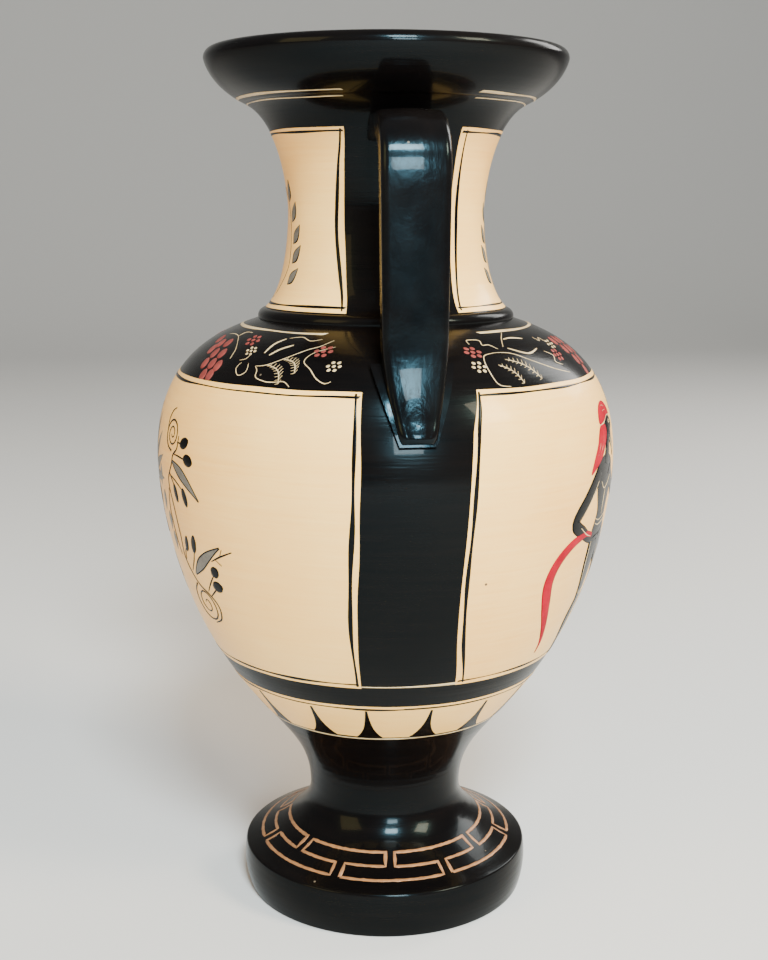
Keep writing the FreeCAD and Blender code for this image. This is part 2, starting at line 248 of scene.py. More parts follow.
def refined(points, closed):
    # finer points on a smooth curve through the frame's, corners kept
    count = len(points)

    def pick(index):
        return points[index % count] if closed or 0 <= index < count else None

    def lean(index):
        before, here, after = pick(index - 1), pick(index), pick(index + 1)
        if before is None or after is None:
            return None
        first, second = here - before, after - here
        if first.length < 1e-9 or second.length < 1e-9 or first.angle(second) > turning["corner"]:
            return None
        return (first / first.length * second.length + second / second.length * first.length).normalized()

    finer = []
    for index in range(count if closed else count - 1):
        start, end = pick(index), pick(index + 1)
        along = end - start
        first, second = lean(index) or along.normalized(), lean(index + 1) or along.normalized()
        steps = max(1, ceil(along.length / turning["spacing"]))
        for step in range(steps):
            t = step / steps
            reach = along.length
            finer.append(start * (2 * t ** 3 - 3 * t ** 2 + 1) + first * reach * (t ** 3 - 2 * t ** 2 + t)
                         + end * (3 * t ** 2 - 2 * t ** 3) + second * reach * (t ** 3 - t ** 2))
    if not closed:
        finer.append(points[-1])
    return finer


def addPiece(name, bm, materials, replaced=(), sharp=30):
    mesh = bpy.data.meshes.new(name)
    bm.to_mesh(mesh)
    bm.free()
    for material in materials:
        mesh.materials.append(material)
    mesh.shade_smooth()
    if sharp:
        mesh.set_sharp_from_angle(angle=radians(sharp))
    piece = bpy.data.objects.new(name, mesh)
    bpy.context.scene.collection.objects.link(piece)
    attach(piece, "root")
    if replaced:
        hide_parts(*replaced)
    return piece


def turned(points, closed):
    bm = bmesh.new()
    verts = [bm.verts.new((p.x, 0, p.y)) for p in points]
    edges = [bm.edges.new(pair) for pair in zip(verts, verts[1:] + (verts[:1] if closed else []))]
    bmesh.ops.spin(bm, geom=verts + edges, cent=(0, 0, 0), axis=(0, 0, 1), dvec=(0, 0, 0),
                   angle=2 * pi, steps=turning["steps"], use_merge=True)
    bmesh.ops.remove_doubles(bm, verts=bm.verts[:], dist=turning["weld"])
    bmesh.ops.recalc_face_normals(bm, faces=bm.faces[:])
    return bm


# height in mm below which the inner side is bare clay
sections = {"foot": 60.0, "bowl": 300.0, "shoulder": 300.0, "neck": 275.0, "mouth": 0.0, "neck_ring": 0.0}
glazeDepth = 2.5 * mm
chains, closedChains = {}, {}
for name in sections:
    points, closedChains[name] = sectionChain(name)
    chains[name] = refined(points, closedChains[name])

# outer outline of the whole jar: radius by height, and the run along it from the ground

outlineStep = 0.25 * mm
topHeight = max(p.y for p in chains["mouth"])
outlineHeights = [index * outlineStep for index in range(int(topHeight / outlineStep))]


def widest(height, names):
    found = 0.0
    for name in names:
        points = chains[name]
        for start, end in zip(points, points[1:] + (points[:1] if closedChains[name] else [])):
            if min(start.y, end.y) <= height <= max(start.y, end.y) and start.y != end.y:
                share = (height - start.y) / (end.y - start.y)
                found = max(found, start.x + (end.x - start.x) * share)
    return found


outlineRadii = [widest(h, ("foot", "bowl", "shoulder", "neck", "mouth")) for h in outlineHeights]
outlineRuns = [0.0]
for index in range(1, len(outlineHeights)):
    outlineRuns.append(outlineRuns[-1] + hypot(outlineStep, outlineRadii[index] - outlineRadii[index - 1]))


def between(value, keys, values):
    index = min(max(bisect_left(keys, value), 1), len(keys) - 1)
    share = (value - keys[index - 1]) / (keys[index] - keys[index - 1])
    share = min(max(share, 0.0), 1.0)
    return values[index - 1] + (values[index] - values[index - 1]) * share


def runAt(height):
    return between(height * mm, outlineHeights, outlineRuns)


def radiusAt(run):
    return between(run, outlineRuns, outlineRadii)


for name, bareBelow in sections.items():
    bm = turned(chains[name], closedChains[name])
    for face in bm.faces:
        centre = face.calc_center_median()
        outer = between(centre.z, outlineHeights, outlineRadii)
        if hypot(centre.x, centre.y) < outer - glazeDepth and centre.z < bareBelow * mm:
            face.material_index = 1
    addPiece("turned_" + name, bm, (blackGlaze, bareClay), (name,), sharp=40)
print("sections turned")


# paint: drawn flat in mm, then laid on the outline. x runs round the jar, y up it.

paintFacts = {"spacing": 1.3, "slice": 2.6, "plateau": 0.11, "soft": 0.22, "thick": 0.10}


def smooth(points, closed=False):
    # points (x, y, half width) filled in along a smooth curve
    count, filled = len(points), []
    spans = count if closed else count - 1
    for index in range(spans):
        if closed:
            a, b, c, d = (points[(index + k) % count] for k in (-1, 0, 1, 2))
        else:
            a, b, c, d = (points[min(max(index + k, 0), count - 1)] for k in (-1, 0, 1, 2))
        steps = max(1, ceil(hypot(c[0] - b[0], c[1] - b[1]) / paintFacts["spacing"]))
        for step in range(steps):
            t = step / steps
            filled.append(tuple(
                0.5 * (2 * q + (r - p) * t + (2 * p - 5 * q + 4 * r - s) * t ** 2
                       + (3 * q - p - 3 * r + s) * t ** 3) for p, q, r, s in zip(a, b, c, d)))
    if not closed:
        filled.append(tuple(points[-1]))
    return filled


def curveMesh(name, splines, filled):
    # splines are lists of (x, y, half width) and whether they close
    curve = bpy.data.curves.new(name, "CURVE")
    curve.dimensions = "2D" if filled else "3D"
    if filled:
        curve.fill_mode, curve.extrude = "BOTH", 1.0
    else:
        curve.bevel_depth, curve.bevel_resolution, curve.use_fill_caps = 1.0, 2, True
    for points, closed in splines:
        spline = curve.splines.new("POLY")
        spline.points.add(len(points) - 1)
        for spot, (x, y, half) in zip(spline.points, points):
            spot.co = (x, y, 0, 1)
            spot.radius = max(half, 0.04)
        spline.use_cyclic_u = closed
    thing = bpy.data.objects.new(name, curve)
    bpy.context.scene.collection.objects.link(thing)
    mesh = bpy.data.meshes.new_from_object(thing.evaluated_get(bpy.context.evaluated_depsgraph_get()))
    bpy.data.objects.remove(thing)
    bm = bmesh.new()
    bm.from_mesh(mesh)
    bpy.data.meshes.remove(mesh)
    bmesh.ops.remove_doubles(bm, verts=bm.verts[:], dist=0.002)
    return bm


def sliced(bm, slice):
    for axis in (0, 1):
        low = min(v.co[axis] for v in bm.verts)
        high = max(v.co[axis] for v in bm.verts)
        side = [0.0, 0.0, 0.0]
        side[axis] = 1.0
        for cut in range(1, ceil((high - low) / slice)):
            spot = [0.0, 0.0, 0.0]
            spot[axis] = low + cut * slice
            bmesh.ops.bisect_plane(bm, geom=bm.verts[:] + bm.edges[:] + bm.faces[:], plane_co=spot,
                                   plane_no=side)
    return bm


def layOn(bm, centre, base, lift, wide=False):
    # flat (x, y, z) in mm goes to the jar: x round it from centre, y along the outline from base.
    # a wide drawing keeps its degrees at every height, any other keeps its millimetres
    baseRun = runAt(base)
    baseRadius = radiusAt(baseRun)
    for vert in bm.verts:
        run = baseRun + vert.co.y * mm
        radius = radiusAt(run)
        height = between(run, outlineRuns, outlineHeights)
        ahead, behind = run + 0.5 * mm, run - 0.5 * mm
        rise = between(ahead, outlineRuns, outlineHeights) - between(behind, outlineRuns, outlineHeights)
        spread = radiusAt(ahead) - radiusAt(behind)
        length = hypot(rise, spread) or 1.0
        off = (vert.co.z + lift) * mm
        angle = radians(centre) + vert.co.x * mm / (baseRadius if wide else radius)
        radius += off * rise / length
        vert.co = (radius * cos(angle), radius * sin(angle), height - off * spread / length)
    bmesh.ops.recalc_face_normals(bm, faces=bm.faces[:])


def paintStrokes(name, strokes, centre, base, material, slot, lift=0.0, flips=(1,)):
    # strokes: (points, closed) with points (x, y, half width); flips draws it again mirrored
    splines = []
    for flip in flips:
        for points, closed in strokes:
            splines.append(([(x * flip, y, half) for x, y, half in smooth(points, closed)], closed))
    bm = curveMesh(name, splines, False)
    for vert in bm.verts:
        z = vert.co.z
        vert.co.z = paintFacts["plateau"] * z / (abs(z) + paintFacts["soft"])
    layOn(bm, centre, base, lift)
    return addPiece(name, bm, (material,), sharp=0)


def paintShapes(name, outlines, centre, base, material, slot, lift=0.0, rounded=True, wide=False):
    # filled outlines, lists of (x, y)
    splines = []
    for points in outlines:
        if rounded:
            points = [(x, y) for x, y, _ in smooth([(x, y, 1) for x, y in points], True)]
        splines.append(([(x, y, 1) for x, y in points], True))
    bm = sliced(curveMesh(name, splines, True), paintFacts["slice"])
    for vert in bm.verts:
        vert.co.z = paintFacts["thick"] if vert.co.z > 0 else -paintFacts["thick"] / 2
    layOn(bm, centre, base, lift, wide)
    return addPiece(name, bm, (material,), sharp=50)


def wobble(seed, size):
    # slow hand-drawn waver, a function of the distance in mm
    dice = Random(seed)
    waves = [(dice.uniform(0.03, 0.22), dice.uniform(0, 2 * pi), dice.uniform(0.4, 1.0)) for _ in range(4)]
    return lambda t: size * sum(a * sin(t * f + p) for f, p, a in waves) / 2.5


def paintPanel(name, leftEdge, rightEdge, low, high, centre, material, slot, seed):
    # field between two edges, each a list of (height, degrees); closed slab over a grid
    whole = rightEdge[0][1] - leftEdge[0][1] >= 360
    midRun = runAt((low + high) / 2)
    lowRun, highRun = runAt(low), runAt(high)
    across = radians(between(midRun, (lowRun, highRun), (rightEdge[0][1], rightEdge[-1][1]))
                     - between(midRun, (lowRun, highRun), (leftEdge[0][1], leftEdge[-1][1])))
    columns = max(6, ceil(across * radiusAt(midRun) / mm / paintFacts["slice"]))
    rows = max(3, ceil((highRun - lowRun) / mm / paintFacts["slice"]))
    bm = bmesh.new()
    bmesh.ops.create_grid(bm, x_segments=columns, y_segments=rows, size=0.5)
    raised = bmesh.ops.extrude_face_region(bm, geom=bm.faces[:])
    tops = {v for v in raised["geom"] if isinstance(v, bmesh.types.BMVert)}
    edgeWaver, endWaver = wobble(seed, 0.28), wobble(seed + 50, 0.22)
    edges = []
    for edge in (leftEdge, rightEdge):
        edges.append(([runAt(height) for height, _ in edge], [degree for _, degree in edge]))
    for vert in bm.verts:
        u, v = vert.co.x + 0.5, vert.co.y + 0.5
        run = lowRun + (highRun - lowRun) * v
        radius = radiusAt(run)
        left, right = (smoothBetween(run, *edge) for edge in edges)
        waver = edgeWaver(run / mm + 300 * round(u)) * abs(2 * u - 1) ** 6
        angle = left + (right - left) * u - centre
        ends = endWaver(radians(angle) * radius / mm + 500 * round(v)) * abs(2 * v - 1) ** 6
        if whole:
            waver, ends = 0.0, ends * (1 - abs(2 * u - 1) ** 8)
        vert.co = (radians(angle) * radius / mm + waver, (run - runAt(low)) / mm + ends,
                   paintFacts["thick"] if vert in tops else -paintFacts["thick"] / 2)
    layOn(bm, centre, low, 0.0)
    if whole:
        # the two ends meet, so their walls go and the ring closes
        bmesh.ops.remove_doubles(bm, verts=bm.verts[:], dist=0.004 * mm)
        walls = [f for f in bm.faces if all(abs(v.co.y) < 0.01 * mm for v in f.verts)]
        bmesh.ops.delete(bm, geom=walls, context="FACES_ONLY")
    return addPiece(name, bm, (material,), sharp=50)


def smoothBetween(value, keys, values):
    index = min(max(bisect_left(keys, value), 1), len(keys) - 1)
    t = min(max((value - keys[index - 1]) / (keys[index] - keys[index - 1]), 0.0), 1.0)
    before, after = max(index - 2, 0), min(index + 1, len(keys) - 1)
    p, q, r, s = (values[k] for k in (before, index - 1, index, after))
    return 0.5 * (2 * q + (r - p) * t + (2 * p - 5 * q + 4 * r - s) * t ** 2
                  + (3 * q - p - 3 * r + s) * t ** 3)


def ringStroke(height, half, seed, waver=0.25, span=None):
    # a line round the jar at a height, or over a span of degrees about its centre
    radius = radiusAt(runAt(height)) / mm
    first, last = span or (-181.0, 181.0)
    sway, press = wobble(seed, waver), wobble(seed + 9, half * 0.55)
    count = max(4, ceil(radians(last - first) * radius / 6))
    points = []
    for index in range(count + 1):
        x = radians(first + (last - first) * index / count) * radius
        points.append((x, sway(x), max(half + press(x), half * 0.35)))
    return points, False


def edgeStroke(edge, inset, half, low, high, centre, base, seed):
    # a line that follows a panel's edge at a distance, inset is a list of (height, mm) from it
    keys, values = [runAt(h) for h, _ in edge], [d for _, d in edge]
    insetKeys, insetValues = [runAt(h) for h, _ in inset], [d for _, d in inset]
    sway, press = wobble(seed, 0.14), wobble(seed + 9, half * 0.3)
    points, count = [], ceil((high - low) / 6)
    for index in range(count + 1):
        run = runAt(low + (high - low) * index / count)
        shift = smoothBetween(run, insetKeys, insetValues)
        x = radians(smoothBetween(run, keys, values) - centre) * radiusAt(run) / mm + shift
        swell = 0.55 + 0.45 * sin(pi * index / count)
        points.append((x + sway(run / mm), (run - runAt(base)) / mm,
                       max(half * swell + press(run / mm), 0.3)))
    return points, False


# cream fields on the black jar. Edges are (height, degrees), worked out from widths either side
# of the handles, and they wander as a hand-held brush does

bandEdges = {
    "nearTendril": [(108, 165.7), (139, 166.1), (162, 167.0), (190, 167.6), (222, 167.4)],
    "nearFigure": [(107, 195.1), (129, 192.3), (152, 191.4), (184, 191.9), (208, 193.2),
                   (222, 195.9)],
    "farFigure": [(107, 346.2), (150, 348.4), (190, 347.6), (222, 346.0)],
    "farTendril": [(107, 13.6), (150, 11.8), (190, 12.2), (222, 14.2)]}
neckEdges = {
    "nearTendril": [(246.8, 155.0), (262, 151.8), (281, 149.4), (300, 150.5), (315.3, 153.4)],
    "nearFigure": [(246.8, 207.9), (265, 210.5), (281, 211.6), (300, 211.8), (315.3, 211.0)],
    "farFigure": [(246.8, 333.0), (281, 330.4), (315.3, 331.8)],
    "farTendril": [(246.8, 26.0), (281, 29.8), (315.3, 27.6)]}
belly = {"low": 108.3, "high": 222.1, "frame": (109.2, 221.5), "base": 165.0, "edges": bandEdges}
neckPanel = {"low": 246.8, "high": 315.3, "frame": (247.6, 314.6), "base": 280.0, "edges": neckEdges}
for name, field, left, right, centre, seed in (
        ("bellyPanelFigure", belly, "nearFigure", "farFigure", figureSide, 3),
        ("bellyPanelTendril", belly, "farTendril", "nearTendril", tendrilSide, 5),
        ("neckPanelFigure", neckPanel, "nearFigure", "farFigure", figureSide, 7),
        ("neckPanelTendril", neckPanel, "farTendril", "nearTendril", tendrilSide, 9)):
    paintPanel(name, field["edges"][left], field["edges"][right], field["low"], field["high"], centre,
               *cream, seed=seed)

tongues = {"low": 81.6, "high": 98.9, "count": 16, "seen": (121.2, 146.1, 166.5, 189.6, 212.3), "tip": 18.8,
           "foot": 0.53}
paintPanel("tongueBand", [(tongues["low"], -180), (tongues["high"], -180)],
           [(tongues["low"], 180), (tongues["high"], 180)], tongues["low"], tongues["high"], 0.0,
           *cream, seed=11)
print("cream fields laid on")


def spikeOutline(middle, half, tip):
    # black spike left between two round-ended tongues: broad at its foot, hollow sides, sharp tip
    side = [(0.35, tip), (0.5, tip * 0.86), (0.8, tip * 0.68), (1.25, tip * 0.5), (half * 0.36, tip * 0.34),
            (half * 0.54, tip * 0.2), (half * 0.76, tip * 0.08), (half * 0.93, tip * 0.02), (half, -0.3)]
    left = [(middle - x, y) for x, y in side]
    return left + [(middle + x, y) for x, y in reversed(side)]


dice = Random(21)
pitch = 360.0 / tongues["count"]
tongueRadius = radiusAt(runAt(tongues["low"])) / mm
spikeTurns = list(tongues["seen"])
spareGap = (spikeTurns[0] + 360 - spikeTurns[-1]) / (tongues["count"] - len(spikeTurns) + 1)
while len(spikeTurns) < tongues["count"]:
    spikeTurns.append(spikeTurns[-1] + spareGap)
spikes = []
for turnedBy in spikeTurns:
    middle = radians(turnedBy) * tongueRadius
    half = radians(pitch) * tongueRadius / 2 * tongues["foot"] * dice.uniform(0.92, 1.08)
    spikes.append(spikeOutline(middle, half, tongues["tip"] * dice.uniform(0.95, 1.03)))


onPanel = paintFacts["thick"] + 0.01
paintShapes("tongueSpikes", spikes, 0.0, tongues["low"], *black, onPanel,
            rounded=False, wide=True)

# lines round the jar, cream on black and black on cream

def ringLines(name, lines, material, slot, lift=0.0):
    # lines: (height, half width, span, seed)
    for index, (height, half, span, seed) in enumerate(lines):
        stroke = ringStroke(height, half, seed, span=span)
        middle = sum(span) / 2 if span else 0.0
        radius = radiusAt(runAt(height)) / mm
        points = [(x - radians(middle) * radius, y, w) for x, y, w in stroke[0]]
        paintStrokes(name + str(index + 1), [(points, False)], middle, height, material, slot, lift)


ringLines("creamLine", (
    (327.4, 0.62, (22, 157.3), 31), (325.4, 0.30, (23, 156.6), 32),
    (327.4, 0.62, (208.8, 338), 33), (325.4, 0.30, (209.5, 337), 34),
    (239.9, 0.75, (27, 150.4), 35), (239.9, 0.75, (209.6, 333), 36), (80.5, 0.42, None, 37),
    (108.8, 0.50, (164.5, 197.5), 38), (108.8, 0.50, (345.0, 375.0), 39)),
    *creamThin)
ringLines("panelLine", (
    (220.3, 0.42, (14.5, 166.8), 41), (220.3, 0.42, (196.2, 345.4), 42),
    (110.0, 0.50, (14.2, 165.0), 43), (110.0, 0.50, (195.6, 345.4), 44),
    (313.9, 0.45, (28.2, 152.6), 45), (313.9, 0.45, (212.0, 331.2), 46),
    (248.6, 0.50, (26.8, 154.0), 47), (248.6, 0.50, (208.8, 332.2), 48), (97.5, 0.42, None, 49)),
    *black, onPanel)

frames = (
    ("TendrilNear", belly, "nearTendril", ((108, -1.2), (135, -2.4), (162, -2.7), (222, -2.1)), 0.85, 160.0),
    ("TendrilFar", belly, "farTendril", ((108, 1.4), (150, 2.5), (222, 1.6)), 0.8, 20.0),
    ("FigureNear", belly, "nearFigure", ((107, 3.0), (152, 1.9), (208, 2.1), (222, 0.8)), 0.8, 198.0),
    ("FigureFar", belly, "farFigure", ((107, -2.4), (150, -2.0), (222, -1.3)), 0.8, 340.0),
    ("NeckTendrilNear", neckPanel, "nearTendril", ((246.8, -1.8), (281, -3.3), (315.3, -1.6)), 0.8, 146.0),
    ("NeckTendrilFar", neckPanel, "farTendril", ((246.8, 1.8), (281, 2.9), (315.3, 1.8)), 0.75, 34.0),
    ("NeckFigureNear", neckPanel, "nearFigure", ((246.8, 1.7), (281, 3.0), (315.3, 3.1)), 0.8, 216.0),
    ("NeckFigureFar", neckPanel, "farFigure", ((246.8, -1.8), (281, -2.8), (315.3, -2.0)), 0.75, 326.0))
for seed, (name, field, edge, inset, half, centre) in enumerate(frames, 51):
    stroke = edgeStroke(field["edges"][edge], inset, half, *field["frame"], centre, field["base"], seed)
    paintStrokes("frame" + name, [stroke], centre, field["base"], *black, onPanel)
print("bands and lines painted")

# meander on the foot, one copper line in key steps
meander = {"units": 7, "start": 176.5, "outer": 21.5, "middle": 24.5, "inner": 28.1, "half": 0.72,
           "outerHalf": 23.5, "innerFirst": 2.0, "innerLast": 48.0, "base": 24.5}
meanderPitch = 360.0 / meander["units"]
baseRun = runAt(meander["base"])
shake = Random(61)


def keyPoint(angle, height):
    run = runAt(height)
    return radians(angle) * radiusAt(run) / mm, (run - baseRun) / mm


for unit in range(meander["units"]):
    outerHalf, first, last = meander["outerHalf"], meander["innerFirst"], meander["innerLast"]
    corners = [(-outerHalf, "outer"), (outerHalf, "outer"), (outerHalf, "middle"), (first, "middle"),
               (first, "inner"), (last, "inner"), (last, "middle"), (meanderPitch - outerHalf, "middle"),
               (meanderPitch - outerHalf, "outer")]
    corners = [(angle + shake.uniform(-0.6, 0.6), meander[level] + shake.uniform(-0.15, 0.15))
               if 0 < index < len(corners) - 1 else (angle, meander[level])
               for index, (angle, level) in enumerate(corners)]
    stroke = []
    for (angle, height), (nextAngle, nextHeight) in zip(corners, corners[1:]):
        steps = max(2, ceil(abs(nextAngle - angle) / 1.6))
        for step in range(steps):
            t = step / steps
            x, y = keyPoint(angle + (nextAngle - angle) * t, height + (nextHeight - height) * t)
            stroke.append((x + shake.uniform(-0.05, 0.05), y + shake.uniform(-0.06, 0.06),
                           meander["half"] * shake.uniform(0.82, 1.12)))
    x, y = keyPoint(*corners[-1])
    stroke.append((x, y, meander["half"]))
    bm = curveMesh("meander", [(stroke, False)], False)
    for vert in bm.verts:
        z = vert.co.z
        vert.co.z = paintFacts["plateau"] * z / (abs(z) + paintFacts["soft"])
    layOn(bm, meander["start"] - 360.0 + meanderPitch * unit, meander["base"], 0.0)
    addPiece("meander" + str(unit + 1), bm, (copperPaint,), sharp=0)
print("meander painted")


# strokes that make up the ornaments, in mm

def spiral(x, y, radius, turns, start, half, sense=1):
    # from its eye outwards
    count = max(8, int(turns * 10))
    points = []
    for index in range(count + 1):
        t = index / count
        angle = radians(start) + sense * 2 * pi * turns * t
        reach = radius * (0.12 + 0.88 * t)
        points.append((x + reach * cos(angle), y + reach * sin(angle), half * (0.7 + 0.5 * t)))
    return points, False


def leaf(x, y, angle, length, half, curl=0.0):
    # from its stalk to its tip, thickest a third of the way
    points = []
    for t, width in ((0, 0.12), (0.15, 0.62), (0.35, 1.0), (0.6, 0.82), (0.82, 0.42), (1, 0.06)):
        turn = radians(angle + curl * t)
        points.append((x + length * t * cos(turn), y + length * t * sin(turn), half * width))
    return points, False


def drop(x, y, angle, length, half):
    points = []
    for t, width in ((0, 0.35), (0.2, 0.85), (0.5, 1.0), (0.8, 0.8), (1, 0.25)):
        points.append((x + length * (t - 0.5) * cos(radians(angle)),
                       y + length * (t - 0.5) * sin(radians(angle)), half * width))
    return points, False


def thin(half, *spots):
    # an even line that tapers off at its ends
    last = len(spots) - 1
    return [(x, y, half * (0.55 if index in (0, last) else 1.0))
            for index, (x, y) in enumerate(spots)], False


def mirrored(strokes, flip):
    return [([(x * flip, y, w) for x, y, w in points], closed) for points, closed in strokes]


tendril = {"side": 112.0, "base": 167.0, "half": 0.38}
line = tendril["half"]
tendrilLines = [
    spiral(-2, 34, 6.6, 2.2, 200, line), thin(line, (-8, 35), (-8, 39), (-6, 42.5), (-3, 44)),
    thin(line, (3.5, 31.5), (6, 31.3), (8, 31.6)), thin(line, (1, 26.5), (6, 26.2), (11, 25.6)),
    thin(line * 1.1, (4.4, 34), (3.6, 29), (0, 26), (-1.5, 22), (-5.5, 15), (-2.5, 5), (-1, -6),
         (-1.5, -16), (5, -25), (12, -28.5), (16, -33), (14, -39), (8, -42)),
    thin(line, (-4, 19), (-1, 16), (1, 14)), thin(line, (-3, 18), (3, 16), (8, 13.5)),
    thin(line, (-0.5, -16), (1, -12), (3.5, -10)), thin(line, (3, -20), (7, -15), (9.8, -10)),
    thin(line, (12, -27), (16.5, -22), (20, -18.5)), thin(line, (13, -29), (16.5, -26.5), (19, -24.5)),
    spiral(7, -33.5, 8.8, 2.1, 150, line, -1),
    thin(line, (-6, 12), (-8, 4), (-7, -6), (-5, -15)),
    thin(line, (21, -12.5), (27, -9.6), (34.5, -6.5)), thin(line * 0.9, (27, -9.6), (29, -6.4)),
    thin(line * 0.9, (24, -11.4), (27, -13.2))]
tendrilBuds = [drop(9.4, 31.8, 20, 6.6, 2.2), drop(13, 25.6, -10, 6.8, 2.3), drop(1.6, 11.4, 290, 7.4, 1.7),
               drop(9.3, 10.8, 290, 7.4, 1.9), drop(3.8, -8.6, 70, 7, 1.6), drop(10.2, -7.6, 70, 8, 1.9),
               drop(21.2, -17, 35, 5.6, 2.3), drop(20.4, -23.3, 10, 6.4, 2.4)]
tendrilLeaves = [leaf(-0.6, 23.6, -22, 24, 2.1, -10), leaf(5.5, -21, 42, 27, 2.2, -8)]
tendrilGrey = [leaf(-17, 20, 262, 9, 2.3), leaf(-14, 10, 262, 8.5, 2.3), leaf(-10.5, 2, 265, 8, 2.2),
               leaf(-9.5, -6, 268, 8, 2.1)]
for label, side, flip in (("Near", tendril["side"], 1), ("Far", 2 * tendrilSide - tendril["side"], -1)):
    paintStrokes("tendrilLeaves" + label, mirrored(tendrilLeaves + tendrilGrey, flip), side,
                 tendril["base"], *grey, onPanel)
    outlines = []
    for points, _ in tendrilLeaves:
        (x0, y0, _), (x1, y1, _) = points[0], points[-1]
        length = hypot(x1 - x0, y1 - y0)
        nx, ny = -(y1 - y0) / length, (x1 - x0) / length
        for sense in (-1, 1):
            outlines.append(([(x + nx * w * sense, y + ny * w * sense, line * 0.75) for x, y, w in points],
                             False))
    paintStrokes("tendrilLines" + label, mirrored(tendrilLines + tendrilBuds + outlines, flip), side,
                 tendril["base"], *black, onPanel + 0.05)

# palmette between the tendrils
palmetteGrey, palmetteLines = [], []
for index in range(9):
    angle = 90 + (index - 4) * 22
    reach = 25 - 1.4 * abs(index - 4)
    palmetteGrey.append(leaf(4 * cos(radians(angle)), 14 + 4 * sin(radians(angle)), angle, reach, 2.2))
for index in range(5):
    angle = 270 + (index - 2) * 26
    palmetteGrey.append(leaf(3 * cos(radians(angle)), -16 + 3 * sin(radians(angle)), angle,
                             20 - 2 * abs(index - 2), 2.0))
palmetteLines += [spiral(-7, 6, 5, 1.8, 20, line, -1), spiral(7, 6, 5, 1.8, 160, line),
                  spiral(-6, -8, 4.4, 1.6, 340, line), spiral(6, -8, 4.4, 1.6, 200, line, -1),
                  thin(line * 1.4, (-9, 13), (-4, 11), (0, 10.5), (4, 11), (9, 13)),
                  drop(0, 0, 90, 15, 2.2), drop(-4.4, -1, 90, 6, 1.3), drop(4.4, -1, 90, 6, 1.3)]
paintStrokes("palmetteLeaves", palmetteGrey, tendrilSide, tendril["base"], *grey, onPanel)
paintStrokes("palmetteLines", palmetteLines, tendrilSide, tendril["base"], *black,
             onPanel + 0.05)
print("tendrils painted")

# laurel branches on the neck: a thin stem, and leaves of thin wash along its outer side
laurel = {
    "height": 268.0, "length": 8.0, "half": 2.3, "edge": 0.3, "back": 0.45, "stem": 0.22,
    "spots": ((1.5, -18.5), (6.0, -14.0), (10.0, -8.0), (11.2, -2.5), (9.6, 6.0), (8.0, 12.5), (4.5, 20.5),
              (1.5, 26.0)),
    "leaves": ((17.0, -9.0, 50), (16.4, -0.4, 56), (14.7, 7.3, 60), (11.3, 15.9, 66), (6.8, 24.0, 78))}
for label, side in (("Tendril", tendrilSide), ("Figure", figureSide)):
    strokes, washes = [], []
    for sense in (-1, 1):
        strokes.append(thin(laurel["stem"], *[(sense * x, y) for x, y in laurel["spots"]]))
        for x, y, angle in laurel["leaves"]:
            heading = angle if sense > 0 else 180 - angle
            for layer, edge in ((strokes, laurel["edge"]), (washes, 0.0)):
                length = laurel["length"] + 2 * edge
                layer.append(leaf(sense * x - length * laurel["back"] * cos(radians(heading)),
                                  y - length * laurel["back"] * sin(radians(heading)),
                                  heading, length, laurel["half"] + edge))
    paintStrokes("laurel" + label, strokes, side, laurel["height"], *black, onPanel)
    paintStrokes("laurelWash" + label, washes, side, laurel["height"], *grey,
                 onPanel + 0.03)
print("laurels painted")

# shoulder: vine scrolls, feathered leaves, grapes and dotted flowers on the black
fine = 0.19


def feather(x0, y0, x1, y1, bend, hairs, length):
    # a bent midrib with short hairs on its outer side
    strokes, spots = [], []
    across, up = x1 - x0, y1 - y0
    size = hypot(across, up)
    nx, ny = -up / size, across / size
    for index in range(hairs + 1):
        t = index / hairs
        lift = bend * sin(pi * t)
        spots.append((x0 + across * t + nx * lift, y0 + up * t + ny * lift))
    strokes.append(thin(fine, *spots))
    for index, (x, y) in enumerate(spots[1:]):
        for sense in (-1, 1):
            hair = length * (0.6 + 0.4 * sin(pi * index / hairs))
            strokes.append(thin(0.19, (x, y), (x - across / size * 0.5 + nx * sense * hair,
                                               y - up / size * hair * 0.7 + ny * sense * hair)))
    return strokes


def dots(x, y, radius, half, count=6):
    ring = [drop(x + radius * cos(2 * pi * k / count), y + radius * sin(2 * pi * k / count),
                 360 * k / count, half * 1.9, half) for k in range(count)]
    return ring + [drop(x, y, 0, half * 1.8, half)]


leftLines = [
    thin(fine, (17, 13.5), (14, 9), (11, 7), (4, 1), (-2, -3), (-7, -4)),
    thin(fine, (-7, -4), (-5, -6), (-4, -9), (1, -10.5), (5, -10.5), (9, -10), (12, -12)),
    thin(fine, (20, 9), (14, 5), (12.5, 0), (17, -4), (21, -8), (25, -10), (27, -9)),
    thin(0.55, (-3, 13), (-6, 9), (-7, 3)), thin(0.55, (3, 9), (-1, 6), (-4, 2)),
    thin(fine, (-11, -3), (-10, -7), (-13, -9), (-16, -6), (-15, -3)),
    thin(fine, (-17, -2), (-14, -1), (-13, 2)), thin(fine, (-2, 13.5), (3, 15), (8, 12.5), (12, 14))]
leftLines += feather(-2, -3, 7, -11, 2.4, 8, 1.9) + feather(3.5, 0.5, 11.5, -6, 2.2, 8, 1.9)
leftDots = dots(25, -2, 2.2, 0.72) + dots(-14.5, 3.5, 2.1, 0.7)
leftRed = dots(17, 6, 2.7, 1.0) + dots(-19, 10, 2.9, 1.05)
grapes = [drop(x, y, 75, 5.6, 2.3) for x, y in (
    (-46, 7), (-40, 5), (-34, 6), (-43, 1), (-37, -0.5), (-31, 0), (-39, -6), (-33, -5.5), (-28, -6),
    (-30, -10.5), (-35, -11))]
